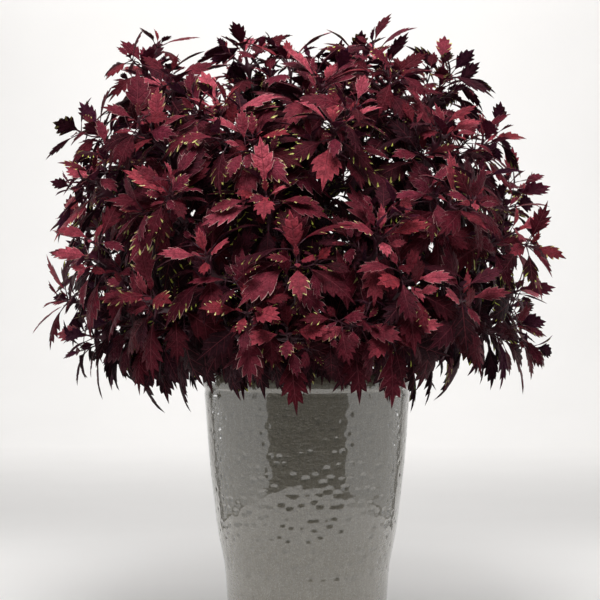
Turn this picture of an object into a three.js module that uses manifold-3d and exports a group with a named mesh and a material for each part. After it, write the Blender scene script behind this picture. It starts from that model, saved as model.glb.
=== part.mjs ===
// A bushy potted coleus: leafy stems with opposite, lobed, burgundy leaves, standing in potting mix in a tall
// tapered glazed pot. Millimetres, +Z up. The origin is the centre of the pot's underside.
//
// Each leafy stem is one closed skin. Coleus stems are square and carry their leaves in opposite pairs, each
// pair turned a quarter from the last. So a leaf or a side shoot grows out of one face of the square stem:
// its stalk starts at that face's four corners, and nothing has to be joined afterwards.
import * as THREE from "three";
import { mergeVertices } from "three/addons/utils/BufferGeometryUtils.js";
import Module from "manifold-3d";

// ---------------------------------------------------------------- driving dimensions
const POT = {
  height: 470,
  // [radius, height] up the outside, below the lip, and up the inside of the thick wall
  outside: [[133, 3], [136.5, 85], [140.5, 138], [151.5, 196], [160, 260], [168, 335], [175, 432]],
  inside: [[106, 14], [120, 26], [127, 140], [149, 260], [161, 440]],
  foot: 130, // radius of the flat underside
  // An oval bead round the mouth, turned from its under edge out over its top to its inner edge, in degrees.
  lip: { radius: 170, height: 454, out: 8, up: 16, from: -60, to: 180, step: 60 },
  sides: 32,
};
const MIX = { surface: 425, mound: 10, shoulder: 14 }; // the potting mix fills the pot up to its surface
const SEAT_GAP = 0.3; // between things that only rest in or on each other

// The dome through the shoot tips: round seen from above, and fuller than an ellipse seen from the side.
const DOME = { centre: new THREE.Vector3(-18, 0, 600), radius: 395, rise: 402, drop: 170, power: 2.2 };
const SHOOTS = 60; // growing tips
const STEMS = 20; // stems that come up from the mix, and fork into the rest of the shoots
const MOST_FORKS = 3; // on one stem
const LOWEST_TIP = -0.16; // the lowest tips' direction from the dome's centre, as its z

// Shoot tips with a place of their own: [x, y, z] of the ones that stick out of the dome or hang over the
// pot's rim, and [x, z] of the ones on its front, whose y is found on the dome.
const OUTLYING_TIPS = [
  [-272, 0, 965], [-105, 10, 1010], [-30, -40, 990], [225, 0, 950], [352, 0, 765], [-382, 0, 735],
  [-400, -20, 590], [356, 0, 606], [-362, -50, 530], [235, -110, 550], [345, -40, 545], [-205, -190, 545],
  [-282, -130, 550],
];
const FRONT_TIPS = [
  [-63, 747], [-93, 573], [110, 686], [151, 620], [40, 854], [-139, 885], [-234, 847], [-330, 653],
  [-212, 747], [222, 739], [67, 553], [-245, 590], [240, 590], [134, 940], [23, 930], [-17, 649],
  [-155, 655], [-85, 835], [215, 850], [-30, 540], [130, 545],
];

const STEM = {
  depth: 60, // how far it goes down into the mix
  width: { root: 9, tip: 5, side: 5.5, sideTip: 4 },
  step: 100, // about the longest straight step
  stiffness: 0.36, // share of the span over which a main stem keeps the direction of each of its ends
  lean: 0.8, // a tip's lean, as a share of its tilt from the top of the dome
};
// The outermost stems stand on a ring and reach the tips at the lowest tilt, in degrees from the dome's top.
// A stem that finds no way up from there is tried further in, and then further round.
const ROOTS = { ring: 108, lowestTilt: 92, spacing: 26, inStep: 6, inSteps: 15, turnStep: 0.12 };
const ROOT_TURNS = [0, 1, -1, 2, -2, 3, -3];
// Side shoots leave between two shares of the main stem's length, outwards and upwards in these proportions.
// They are tried from so many places on so many of its faces, each place shifted a little.
const FORK = {
  from: 0.34, to: 0.62, places: 20, faces: 3, shift: 6, outwards: 0.8, upwards: 0.7, stiffness: [0.38, 0.3],
};

// One side of a blade's outline from its base, [share of the length, share of the half width]: lobe, notch,
// lobe, notch, lobe.
const LOBES = [[0.34, 0.8], [0.44, 0.64], [0.58, 1], [0.66, 0.6], [0.79, 0.6]];
const YOUNG_LOBES = [[0.4, 0.86], [0.54, 0.6], [0.68, 0.8]];
const HUB = 0.52; // where along the rib the blade is thickest
const BLADE = { widthShare: 0.57, thickness: 2.2 };
// share is the stalk's length against the blade's, and bend how much it takes of the blade's direction.
const STALK = { share: 0.24, width: 2.6, height: 2, bend: 0.6 };
const NODE_HEIGHT = 6.5; // how much of the stem's face a leaf or side shoot takes
const BUD = 1.2; // length of the bud that ends a stem, against the stem's width there
const SAME = 1e-6; // lengths along a stem that differ by less are one place
// Pairs of leaves, counted back from a shoot's tip. rise is the stalk's angle off square to the stem.
const PAIRS = [
  { back: NODE_HEIGHT, length: 68, rise: 44, droop: 0.15, arch: 28, fold: 12, lobes: YOUNG_LOBES },
  { back: 27, length: 92, rise: 27, droop: 0.5, arch: 42, fold: 2, lobes: LOBES },
  { back: 58, length: 102, rise: 12, droop: 0.7, arch: 50, fold: -8, lobes: LOBES },
];
// How much leaves differ from each other, in degrees or as shares. A leaf that finds no room is tried again,
// each time shorter by one share and at angles that differ more by the other.
const SPREAD = { length: 0.1, rise: 11, swing: 15, droop: 0.3, arch: 14, fold: 8 };
const LEAF_TRIES = 16;
const NEXT_TRY = { shorter: 0.02, looser: 0.12 };
// A leaf keeps this share of its droop on an upright stem, and all of it where the stem leans enough.
const LEAST_DROOP = 0.3;
const LEANS_ENOUGH = 0.15; // as how much of the stem's upward direction is left
const BLADE_LIFT = 0.3; // how much a blade faces up, against facing along its stem
// Added all round both of two things before they are tested for touching. A stem gets more, because where its
// straight steps end is only settled once everything on it has its place.
const CLEARANCE = { leaf: 0.8, stem: 2.5 };
const RIM_CLEARANCE = 5; // between leaves and the pot

const UP = new THREE.Vector3(0, 0, 1);

// ---------------------------------------------------------------- small helpers
/** A seeded random source: the same plant on every run. */
function randomSource(seed) {
  let state = seed >>> 0;
  return () => {
    state = (state + 0x6d2b79f5) >>> 0;
    let t = state;
    t = Math.imul(t ^ (t >>> 15), t | 1);
    t ^= t + Math.imul(t ^ (t >>> 7), t | 61);
    return ((t ^ (t >>> 14)) >>> 0) / 4294967296;
  };
}
const random = randomSource(20260);
const jitter = (amount) => (random() * 2 - 1) * amount;
const radians = THREE.MathUtils.degToRad;
const mix = THREE.MathUtils.lerp;

/** a + b*s + c*t + ..., from pairs of a vector and a number. */
function sum(...terms) {
  const made = new THREE.Vector3();
  for (let i = 0; i < terms.length; i += 2) made.addScaledVector(terms[i], terms[i + 1]);
  return made;
}
const square = (vector, axis) => vector.clone().addScaledVector(axis, -vector.dot(axis)).normalize();

/** Points and triangles of a closed skin under construction. */
class Skin {
  points = [];
  faces = [];
  add(point) {
    return this.points.push(point) - 1;
  }
  /** The triangles from a centre to each side of a closed line of points. */
  fan(centre, line) {
    line.forEach((a, i) => this.triangle(centre, a, line[(i + 1) % line.length]));
  }
  triangle(a, b, c) {
    this.faces.push([a, b, c]);
  }
  quad([a, b, c, d]) {
    this.faces.push([a, b, c], [a, c, d]);
  }
  geometry() {
    return new THREE.BufferGeometry()
      .setAttribute("position", new THREE.Float32BufferAttribute(this.points.flatMap((p) => p.toArray()), 3))
      .setIndex(this.faces.flat());
  }
}

// ---------------------------------------------------------------- keeping things clear of each other
const ray = new THREE.Ray();
const hit = new THREE.Vector3();
/** Whether the segment p-q passes through the triangle a-b-c. */
function pierces(p, q, a, b, c) {
  const length = p.distanceTo(q);
  ray.origin.copy(p);
  ray.direction.subVectors(q, p).divideScalar(length);
  return ray.intersectTriangle(a, b, c, false, hit) !== null && hit.distanceTo(p) <= length;
}

/** A swollen stand-in of something placed, kept so that later things can stay clear of it. */
class Body {
  constructor(skin, owner) {
    this.owner = owner;
    this.triangles = skin.faces.map((face) => face.map((i) => skin.points[i]));
    this.box = new THREE.Box3().setFromPoints(skin.points);
    const seen = new Map();
    for (const face of skin.faces)
      face.forEach((a, i) => {
        const b = face[(i + 1) % 3];
        seen.set(`${Math.min(a, b)}-${Math.max(a, b)}`, [skin.points[a], skin.points[b]]);
      });
    this.edges = [...seen.values()].map((edge) => ({ edge, box: new THREE.Box3().setFromPoints(edge) }));
    this.faceBoxes = this.triangles.map((t) => new THREE.Box3().setFromPoints(t));
  }
  cuts(other) {
    return this.edges.some(
      ({ edge, box }) =>
        box.intersectsBox(other.box) &&
        other.triangles.some((t, i) => box.intersectsBox(other.faceBoxes[i]) && pierces(...edge, ...t)),
    );
  }
  touches(other) {
    return this.box.intersectsBox(other.box) && (this.cuts(other) || other.cuts(this));
  }
}
const placed = [];
/** Whether a body touches nothing that is placed, but for the things it is spared from. */
function isClear(body, spared = () => false) {
  return !placed.some((other) => !spared(other) && body.touches(other));
}

/** Whether a skin stays outside the pot and above its rim. */
function clearsPot(skin) {
  const mouth = POT.lip.radius + POT.lip.out + RIM_CLEARANCE;
  const near = (p) => p.z < POT.height + RIM_CLEARANCE && Math.hypot(p.x, p.y) < mouth;
  return !skin.faces.some((face) => {
    const [p, q, r] = face.map((i) => skin.points[i]);
    return [p, sum(p, 0.5, q, 0.5), sum(q, 0.5, r, 0.5), sum(r, 0.5, p, 0.5)].some(near);
  });
}

// ---------------------------------------------------------------- leaves
/**
 * Adds a leaf that grows out of the four corners of `root`: lower left, lower right, upper right, upper left,
 * seen from outside. Its stalk is a four-sided tube and its blade a thin lens: both faces are fans of the
 * same outline round a hub on the rib. `swell` makes all of it thicker and wider by that much, for a
 * stand-in.
 */
function addLeaf(skin, root, leaf, swell = 0) {
  const { start, forward, up, length, arch, fold, lobes } = leaf;
  const side = new THREE.Vector3().crossVectors(up, forward);
  const bend = radians(arch);
  const tilted = radians(fold);
  const halfWidth = (length * BLADE.widthShare) / 2 + swell;
  const reach = length + swell;
  // A point on the blade: u along the rib, v across it, h out of its face.
  const at = (u, v, h) => {
    const turned = bend * u;
    const face = sum(up, Math.cos(turned), forward, Math.sin(turned));
    const rib = sum(
      start, 1,
      forward, (reach * Math.sin(turned)) / bend,
      up, (-reach * (1 - Math.cos(turned))) / bend,
    );
    const across = v * halfWidth;
    return sum(rib, 1, side, across * Math.cos(tilted), face, Math.abs(across) * Math.sin(tilted) + h);
  };
  const stalkSide = (STALK.width / 2 + swell) / halfWidth;
  const stalkUp = STALK.height / 2 + swell;
  const lowLeft = skin.add(at(0, -stalkSide, -stalkUp));
  const lowRight = skin.add(at(0, stalkSide, -stalkUp));
  const topRight = skin.add(at(0, stalkSide, stalkUp));
  const topLeft = skin.add(at(0, -stalkSide, stalkUp));
  addTube(skin, root, [lowLeft, lowRight, topRight, topLeft]);

  const left = lobes.map(([u, v]) => skin.add(at(u, -v, 0)));
  const right = lobes.map(([u, v]) => skin.add(at(u, v, 0)));
  const outline = [...left, skin.add(at(1, 0, 0)), ...right.reverse()];
  const hubUp = BLADE.thickness / 2 + swell;
  const topHub = skin.add(at(HUB, 0, hubUp));
  const lowHub = skin.add(at(HUB, 0, -hubUp));
  skin.fan(topHub, [topLeft, ...outline, topRight]);
  skin.fan(lowHub, [lowLeft, ...outline, lowRight].reverse());
  skin.triangle(topLeft, lowLeft, outline[0]);
  skin.triangle(topRight, outline[outline.length - 1], lowRight);
}

const STALK_FACES = 8; // the stalk's triangles, which come first

/** Joins two rings of four corners, but for the sides listed in `open`. */
function addTube(skin, from, to, open = []) {
  from.forEach((corner, k) => {
    const next = (k + 1) % 4;
    if (!open.includes(k)) skin.quad([corner, from[next], to[next], to[k]]);
  });
}

/** A leaf for a face of a stem: where its stalk ends, which way its blade runs and faces, and its shape. */
function aimLeaf(stem, s, k, pair, attempt) {
  const { origin, along, out } = stem.face(s, k);
  const loosened = 1 + attempt * NEXT_TRY.looser;
  const length = pair.length * (1 + jitter(SPREAD.length)) * (1 - attempt * NEXT_TRY.shorter);
  const rise = radians(pair.rise + jitter(SPREAD.rise * loosened));
  const swing = radians(jitter(SPREAD.swing * loosened));
  const level = new THREE.Vector3().crossVectors(along, out);
  const away = sum(out, Math.cos(swing), level, Math.sin(swing));
  const stalk = sum(away, Math.cos(rise), along, Math.sin(rise)).normalize();
  // A leaf droops less where it already points up, and on a stem that stands upright.
  const pointsDown = (1 - Math.max(0, out.z)) ** 2;
  const leans = mix(LEAST_DROOP, 1, Math.min(1, 1 + LEANS_ENOUGH - along.z));
  const droop = pair.droop * (1 + jitter(SPREAD.droop)) * pointsDown * leans;
  const forward = sum(stalk, 1, UP, -droop).normalize();
  const up = square(sum(along, 1, UP, BLADE_LIFT), forward);
  const stalkLine = sum(stalk, 1, forward, STALK.bend).normalize();
  const start = sum(origin, 1, stalkLine, length * STALK.share + stem.width(s) / 2);
  const arch = pair.arch + jitter(SPREAD.arch);
  const fold = pair.fold + jitter(SPREAD.fold);
  return { start, forward, up, length, arch, fold, lobes: pair.lobes };
}

// ---------------------------------------------------------------- stems
const FRAME_COUNT = 160;
/** A square stem along a path, with frames carried along it without twist. */
class Stem {
  nodes = []; // { s, growths: a Map of face to leaf or side stem }
  frames = [];
  constructor(path, startNormal, widths, straight = 0) {
    this.path = path;
    this.length = path.getLength();
    this.widths = widths;
    this.straight = straight; // the length of its straight foot
    let normal = startNormal;
    for (let i = 0; i <= FRAME_COUNT; i++) {
      const along = path.getTangentAt(i / FRAME_COUNT).normalize();
      normal = square(normal, along);
      this.frames.push({ along, normal, side: new THREE.Vector3().crossVectors(along, normal) });
    }
  }
  width(s) {
    return mix(this.widths[0], this.widths[1], s / this.length);
  }
  frame(s) {
    const share = Math.min(1, s / this.length);
    return { origin: this.path.getPointAt(share), ...this.frames[Math.round(share * FRAME_COUNT)] };
  }
  /** The four corners round the stem at s, counterclockwise seen from its tip. */
  corners(s, swell = 0) {
    const { origin, normal, side } = this.frame(s);
    const half = this.width(s) / 2 + swell;
    const signs = [[1, 1], [-1, 1], [-1, -1], [1, -1]];
    return signs.map(([n, b]) => sum(origin, 1, normal, n * half, side, b * half));
  }
  /** Face k of the stem at s: its middle and which way it looks. */
  face(s, k) {
    const { origin, along, normal, side } = this.frame(s + NODE_HEIGHT / 2);
    const out = sum([side, normal][k % 2], k === 0 || k === 3 ? 1 : -1);
    return { origin: sum(origin, 1, out, this.width(s) / 2), along, out };
  }
  /** Whether a node at s would be clear of the nodes that are there. */
  hasRoom(s) {
    return s > NODE_HEIGHT && this.nodes.every((node) => Math.abs(node.s - s) > NODE_HEIGHT * 1.5);
  }
  /** Where the stem has a ring of corners: its ends, both ends of each node, and between them as it bends. */
  stations() {
    const stops = [0, this.straight];
    for (const node of [...this.nodes].sort((a, b) => a.s - b.s)) stops.push(node.s, node.s + NODE_HEIGHT);
    stops.push(this.length);
    const all = [];
    stops.forEach((stop, i) => {
      const gap = i ? stop - stops[i - 1] : 0;
      const cuts = Math.ceil(gap / STEM.step);
      for (let c = 1; c < cuts; c++) all.push(stops[i - 1] + (gap * c) / cuts);
      all.push(stop);
    });
    return all.filter((s, i) => i === 0 || s - all[i - 1] > SAME);
  }
  /** Swollen stand-ins of the stem's stretches. */
  bodies() {
    const stops = this.stations();
    return stops.slice(1).map((s, i) => {
      const skin = new Skin();
      const [from, to] = [stops[i], s].map((at) => this.corners(at, CLEARANCE.stem).map((p) => skin.add(p)));
      addTube(skin, from, to);
      return new Body(skin, this);
    });
  }
  /** Adds the stem and all that grows on it to a skin, from a ring of corners that is already there. */
  build(skin, firstRing) {
    const stops = this.stations();
    const addRing = (s) => this.corners(s).map((p) => skin.add(p));
    const rings = stops.map((s, i) => (i === 0 && firstRing ? firstRing : addRing(s)));
    rings.slice(1).forEach((ring, i) => {
      const node = this.nodes.find((n) => Math.abs(n.s - stops[i]) < SAME);
      const grown = node ? [...node.growths.keys()] : [];
      addTube(skin, rings[i], ring, grown);
      for (const k of grown) {
        const next = (k + 1) % 4;
        const root = [rings[i][k], rings[i][next], ring[next], ring[k]];
        const growth = node.growths.get(k);
        if (growth instanceof Stem) growth.build(skin, root);
        else addLeaf(skin, root, growth);
      }
    });
    if (!firstRing) skin.quad([...rings[0]].reverse());
    const { origin, along } = this.frame(this.length);
    skin.fan(skin.add(sum(origin, 1, along, this.width(this.length) * BUD)), rings[rings.length - 1]);
  }
}

// ---------------------------------------------------------------- where the shoots end
/** The dome's point in a direction from its centre. */
function domePoint(direction) {
  const flat = Math.hypot(direction.x, direction.y) / DOME.radius;
  const tall = Math.abs(direction.z) / (direction.z > 0 ? DOME.rise : DOME.drop);
  const reach = (flat ** DOME.power + tall ** DOME.power) ** (-1 / DOME.power);
  return sum(DOME.centre, 1, direction, reach);
}
/** The dome's front point at a given x and z. */
function domeFront(x, z) {
  const tall = Math.abs(z - DOME.centre.z) / (z > DOME.centre.z ? DOME.rise : DOME.drop);
  const flat = DOME.radius * Math.max(0, 1 - tall ** DOME.power) ** (1 / DOME.power);
  const across = x - DOME.centre.x;
  return new THREE.Vector3(x, -Math.sqrt(Math.max(0, flat ** 2 - across ** 2)), z);
}
const nearest = (point, others) => Math.min(...others.map((o) => point.distanceTo(o)));

/** Adds to `chosen` the candidate that is furthest from all that are chosen, until there are `count`. */
function spreadOut(chosen, candidates, count) {
  while (chosen.length < count) {
    const scores = candidates.map((c) => (chosen.length ? nearest(c, chosen) : c.z));
    chosen.push(candidates[scores.indexOf(Math.max(...scores))]);
  }
  return chosen;
}

const GOLDEN_ANGLE = Math.PI * (3 - Math.sqrt(5));
const CANDIDATES = 400;
/** The tips with a place of their own, and more of them wherever the dome is still bare. */
function shootTips() {
  const candidates = [];
  for (let i = 0; i < CANDIDATES; i++) {
    const z = mix(1, LOWEST_TIP, (i + 0.5) / CANDIDATES);
    const flat = Math.sqrt(1 - z * z);
    const turn = i * GOLDEN_ANGLE;
    candidates.push(domePoint(new THREE.Vector3(flat * Math.cos(turn), flat * Math.sin(turn), z)));
  }
  const own = [
    ...OUTLYING_TIPS.map((p) => new THREE.Vector3(...p)),
    ...FRONT_TIPS.map(([x, z]) => domeFront(x, z)),
  ];
  return spreadOut(own, candidates, SHOOTS);
}

/** How far a tip lies round from the top of the dome, in degrees. */
function tilt(tip) {
  const from = tip.clone().sub(DOME.centre);
  return THREE.MathUtils.radToDeg(Math.acos(from.z / from.length()));
}
/** Which way a shoot points at its tip: out of the dome, and lifted towards the light. */
function tipDirection(tip) {
  const turn = Math.atan2(tip.y, tip.x - DOME.centre.x);
  const lean = radians(tilt(tip) * STEM.lean);
  return new THREE.Vector3(Math.cos(turn) * Math.sin(lean), Math.sin(turn) * Math.sin(lean), Math.cos(lean));
}

/** Main stems: each takes one tip for itself and the nearest free ones for its side shoots. */
function shareTips(tips) {
  const mains = spreadOut([], tips, STEMS);
  const groups = mains.map((main) => ({ main, sides: [] }));
  const pairs = tips
    .filter((tip) => !mains.includes(tip))
    .flatMap((tip) => groups.map((group) => ({ tip, group, gap: tip.distanceTo(group.main) })))
    .sort((a, b) => a.gap - b.gap);
  const taken = new Set();
  for (const { tip, group } of pairs)
    if (!taken.has(tip) && group.sides.length < MOST_FORKS) {
      group.sides.push(tip);
      taken.add(tip);
    }
  return groups;
}

// ---------------------------------------------------------------- growing the plant
/** A stem that stands in the mix at `root`, turned by `turn`, and rises to `tip`. */
function mainStem(root, turn, tip) {
  const ground = sum(root, 1, UP, STEM.depth + MIX.mound);
  const reach = ground.distanceTo(tip) * STEM.stiffness;
  const path = new THREE.CurvePath();
  path.add(new THREE.LineCurve3(root, ground));
  const pulls = [sum(ground, 1, UP, reach), sum(tip, 1, tipDirection(tip), -reach)];
  path.add(new THREE.CubicBezierCurve3(ground, ...pulls, tip));
  const outwards = new THREE.Vector3(Math.cos(turn), Math.sin(turn), 0);
  return new Stem(path, outwards, [STEM.width.root, STEM.width.tip], ground.distanceTo(root));
}

/** Plants a stem for a tip where it passes clear of the stems that are already there. */
function plantStem(tip, roots) {
  const home = Math.atan2(tip.y, tip.x - DOME.centre.x);
  const ring = ROOTS.ring * Math.min(1, tilt(tip) / ROOTS.lowestTilt);
  for (const step of ROOT_TURNS) {
    const turn = home + step * ROOTS.turnStep;
    for (let inwards = 0; inwards < ROOTS.inSteps; inwards++) {
      const out = ring - inwards * ROOTS.inStep;
      const root = new THREE.Vector3(Math.cos(turn) * out, Math.sin(turn) * out, MIX.surface - STEM.depth);
      if (roots.some((other) => other.place.distanceTo(root) < ROOTS.spacing)) continue;
      const stem = mainStem(root, turn, tip);
      const bodies = stem.bodies();
      if (!bodies.every((body) => isClear(body))) continue;
      placed.push(...bodies);
      roots.push({ place: root, turn });
      return stem;
    }
  }
  throw new Error("a main stem has no clear way up");
}

/** A side shoot from a face of a stem to its own tip. */
function sideStem(main, s, k, tip) {
  const { origin, along, out } = main.face(s, k);
  const span = origin.distanceTo(tip);
  const leave = sum(out, FORK.outwards, along, FORK.upwards).normalize();
  const path = new THREE.CubicBezierCurve3(
    origin,
    sum(origin, 1, leave, span * FORK.stiffness[0]),
    sum(tip, 1, tipDirection(tip), -span * FORK.stiffness[1]),
    tip,
  );
  const corners = main.corners(s);
  const normal = corners[k].clone().sub(corners[(k + 1) % 4]).normalize();
  return new Stem(path, normal, [STEM.width.side, STEM.width.sideTip]);
}

/** The stem's faces, the one that looks most towards a point first. */
function facesTowards(stem, s, point) {
  const faces = [0, 1, 2, 3].map((k) => ({ k, ...stem.face(s, k) }));
  const towards = ({ origin, out }) => point.clone().sub(origin).dot(out);
  return faces.sort((a, b) => towards(b) - towards(a)).map(({ k }) => k);
}

/** Forks a side shoot off a main stem where it passes clear of everything else. */
function forkOff(main, tip) {
  for (let attempt = 0; attempt < FORK.places * FORK.faces; attempt++) {
    const down = (attempt % FORK.places) / (FORK.places - 1);
    const s = main.length * mix(FORK.to, FORK.from, down) + jitter(FORK.shift);
    if (!main.hasRoom(s)) continue;
    const k = facesTowards(main, s, tip)[Math.floor(attempt / FORK.places)];
    const side = sideStem(main, s, k, tip);
    const bodies = side.bodies();
    // It starts on its main stem, and must not come back to it further on.
    const fork = main.path.getPointAt(s / main.length);
    const isNearFork = ({ owner, box }) => owner === main && box.distanceToPoint(fork) < STEM.width.root;
    if (!bodies.every((body, i) => isClear(body, i ? undefined : isNearFork))) continue;
    main.nodes.push({ s, growths: new Map([[k, side]]) });
    placed.push(...bodies);
    return side;
  }
  return null;
}

/** Tries to put one leaf on a face of a stem, clear of all that is there. */
function placeLeaf(stem, s, k, pair) {
  for (let attempt = 0; attempt < LEAF_TRIES; attempt++) {
    const leaf = aimLeaf(stem, s, k, pair, attempt);
    const whole = new Skin();
    const [low, high] = [s, s + NODE_HEIGHT].map((at) => stem.corners(at).map((p) => whole.add(p)));
    const next = (k + 1) % 4;
    addLeaf(whole, [low[k], low[next], high[next], high[k]], leaf, CLEARANCE.leaf);
    const blade = new Skin();
    blade.points = whole.points;
    blade.faces = whole.faces.slice(STALK_FACES);
    // The stalk starts on its own stem; the blade may touch nothing at all.
    const body = new Body(whole, stem);
    const ownStem = (other) => other.owner === stem && !other.isLeaf;
    if (!clearsPot(blade) || !isClear(body, ownStem)) continue;
    if (!isClear(new Body(blade, stem), (other) => !ownStem(other))) continue;
    body.isLeaf = true;
    placed.push(body);
    return leaf;
  }
  return null;
}

/** Puts a pair of leaves on a shoot, on the two faces that the pair before left free. */
function placePair(shoot, pair, level) {
  const s = shoot.length - pair.back;
  if (!shoot.hasRoom(s)) return;
  const growths = new Map();
  for (const k of level % 2 ? [1, 3] : [0, 2]) {
    const leaf = placeLeaf(shoot, s, k, pair);
    if (leaf) growths.set(k, leaf);
  }
  if (growths.size) shoot.nodes.push({ s, growths });
}

/** All the stems, with what grows on them, and where they stand in the mix. */
function growPlant() {
  const roots = [];
  const groups = shareTips(shootTips());
  const stems = groups.map(({ main }) => plantStem(main, roots));
  const sides = groups.flatMap((group, i) => group.sides.map((tip) => forkOff(stems[i], tip)));
  const shoots = [...stems, ...sides.filter(Boolean)];
  PAIRS.forEach((pair, level) => shoots.forEach((shoot) => placePair(shoot, pair, level)));
  return { stems, roots };
}

// ---------------------------------------------------------------- pot and potting mix
const wasm = await Module();
wasm.setup();

const SAME_POINT = 1e-4;
function toSolid(geometry) {
  const bare = geometry.clone();
  bare.deleteAttribute("normal");
  bare.deleteAttribute("uv");
  const merged = mergeVertices(bare, SAME_POINT);
  return new wasm.Manifold(
    new wasm.Mesh({
      numProp: 3,
      vertProperties: new Float32Array(merged.attributes.position.array),
      triVerts: new Uint32Array(merged.index.array),
    }),
  );
}
function toGeometry(solid) {
  const mesh = solid.getMesh();
  return new THREE.BufferGeometry()
    .setAttribute("position", new THREE.BufferAttribute(mesh.vertProperties, 3))
    .setIndex(new THREE.BufferAttribute(mesh.triVerts, 1));
}
/** A solid of revolution about Z from [radius, height] points. */
function turned(points, sides) {
  const profile = points.map(([r, z]) => new THREE.Vector2(r, z));
  return new THREE.LatheGeometry(profile, sides).rotateX(Math.PI / 2);
}

function makePot() {
  const { outside, inside, foot, lip, sides } = POT;
  const bead = [];
  for (let angle = lip.from; angle <= lip.to; angle += lip.step)
    bead.push([
      lip.radius + lip.out * Math.cos(radians(angle)),
      lip.height + lip.up * Math.sin(radians(angle)),
    ]);
  const base = [[0, 0], [foot, 0]];
  return turned([...base, ...outside, ...bead, ...[...inside].reverse(), [0, inside[0][1]]], sides);
}

/** The filled pot's inside, a seat gap clear of it, with a plain square hole for each stem. */
function makeMix(roots) {
  const { surface, mound, shoulder } = MIX;
  const [base, ...walls] = POT.inside.map(([r, z]) => [r - SEAT_GAP, z + SEAT_GAP]);
  const rim = walls.pop();
  const below = walls[walls.length - 1];
  const edgeHeight = surface - shoulder / 2;
  const edge = mix(below[0], rim[0], (edgeHeight - below[1]) / (rim[1] - below[1]));
  const top = [[edge, edgeHeight], [edge - shoulder, surface], [0, surface + mound]];
  let solid = toSolid(turned([[0, base[1]], base, ...walls, ...top], POT.sides));
  const width = STEM.width.root + 2 * SEAT_GAP;
  const depth = STEM.depth + 2 * mound;
  for (const { place, turn } of roots) {
    const hole = new THREE.BoxGeometry(width, width, depth)
      .rotateZ(turn)
      .translate(place.x, place.y, place.z - SEAT_GAP + depth / 2);
    solid = solid.subtract(toSolid(hole));
  }
  return toGeometry(solid);
}

// ---------------------------------------------------------------- the object
const GLAZE = new THREE.MeshStandardMaterial({ color: 0x8f908a, roughness: 0.15, metalness: 0 });
const EARTH = new THREE.MeshStandardMaterial({ color: 0x2c1f18, roughness: 0.95, metalness: 0 });
const LEAF = new THREE.MeshStandardMaterial({ color: 0x5c1220, roughness: 0.55, metalness: 0 });

function named(name, geometry, material) {
  const mesh = new THREE.Mesh(geometry, material);
  mesh.name = name;
  return mesh;
}

const coleus = new THREE.Group();
const { stems, roots } = growPlant();
coleus.add(named("pot", makePot(), GLAZE));
coleus.add(named("potting_mix", makeMix(roots), EARTH));
stems.forEach((stem, i) => {
  const skin = new Skin();
  stem.build(skin);
  coleus.add(named(`leafy_stem_${String(i + 1).padStart(2, "0")}`, skin.geometry(), LEAF));
});

export default coleus;
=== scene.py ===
"""Looks for the potted coleus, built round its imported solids. Metres, in the frame of the solids.

The solids give every stem and 359 of the leaves. Here the stems get rounded skins, those leaves get cut,
curled, veined blades in the same places, and the shoots fill out with the leaves between and below them.
"""

import bisect
import itertools
import math
import random
from dataclasses import dataclass

import bmesh
import bpy
from mathutils import Matrix, Vector, noise
from mathutils.bvhtree import BVHTree


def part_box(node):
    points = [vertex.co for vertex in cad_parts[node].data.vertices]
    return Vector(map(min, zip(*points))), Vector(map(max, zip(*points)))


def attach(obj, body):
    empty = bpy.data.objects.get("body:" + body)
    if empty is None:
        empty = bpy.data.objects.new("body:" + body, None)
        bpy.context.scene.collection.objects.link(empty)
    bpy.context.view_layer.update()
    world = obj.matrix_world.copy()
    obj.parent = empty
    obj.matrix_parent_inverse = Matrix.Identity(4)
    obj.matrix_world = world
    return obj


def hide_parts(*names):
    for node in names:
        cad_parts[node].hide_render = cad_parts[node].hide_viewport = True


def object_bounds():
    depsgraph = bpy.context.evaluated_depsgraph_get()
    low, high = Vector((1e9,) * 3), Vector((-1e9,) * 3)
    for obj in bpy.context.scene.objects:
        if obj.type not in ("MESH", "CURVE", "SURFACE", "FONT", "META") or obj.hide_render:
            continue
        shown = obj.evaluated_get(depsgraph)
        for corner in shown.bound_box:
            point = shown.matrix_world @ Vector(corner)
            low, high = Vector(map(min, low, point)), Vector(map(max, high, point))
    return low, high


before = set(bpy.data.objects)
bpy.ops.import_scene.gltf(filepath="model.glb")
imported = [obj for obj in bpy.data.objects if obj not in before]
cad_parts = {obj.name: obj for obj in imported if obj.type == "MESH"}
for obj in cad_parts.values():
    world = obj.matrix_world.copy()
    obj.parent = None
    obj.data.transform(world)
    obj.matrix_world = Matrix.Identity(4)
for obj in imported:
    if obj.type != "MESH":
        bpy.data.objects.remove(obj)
cad_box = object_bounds()

MM = 0.001
UP = Vector((0, 0, 1))
SAME = 1e-6


# ------------------------------ meshes
def as_mesh(name, bm):
    data = bpy.data.meshes.new(name)
    bm.to_mesh(data)
    bm.free()
    return data


def take_in(bm, data):
    """Adds a mesh to a bmesh, and removes the mesh."""
    bm.from_mesh(data)
    bpy.data.meshes.remove(data)


def paint(bm, material):
    for face in bm.faces:
        face.material_index = material


def add_object(name, bm, finishes):
    """Makes a smooth-shaded mesh object of a bmesh, at the origin."""
    for face in bm.faces:
        face.smooth = True
    data = as_mesh(name, bm)
    for finish in finishes:
        data.materials.append(finish)
    made = bpy.data.objects.new(name, data)
    bpy.context.scene.collection.objects.link(made)
    return made


def extruded(bm, edges):
    """Extrudes a row of edges and returns the new row's edges and vertices."""
    made = bmesh.ops.extrude_edge_only(bm, edges=edges)["geom"]
    verts = {part for part in made if isinstance(part, bmesh.types.BMVert)}
    return [edge for edge in bm.edges if verts.issuperset(edge.verts)], verts


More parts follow.
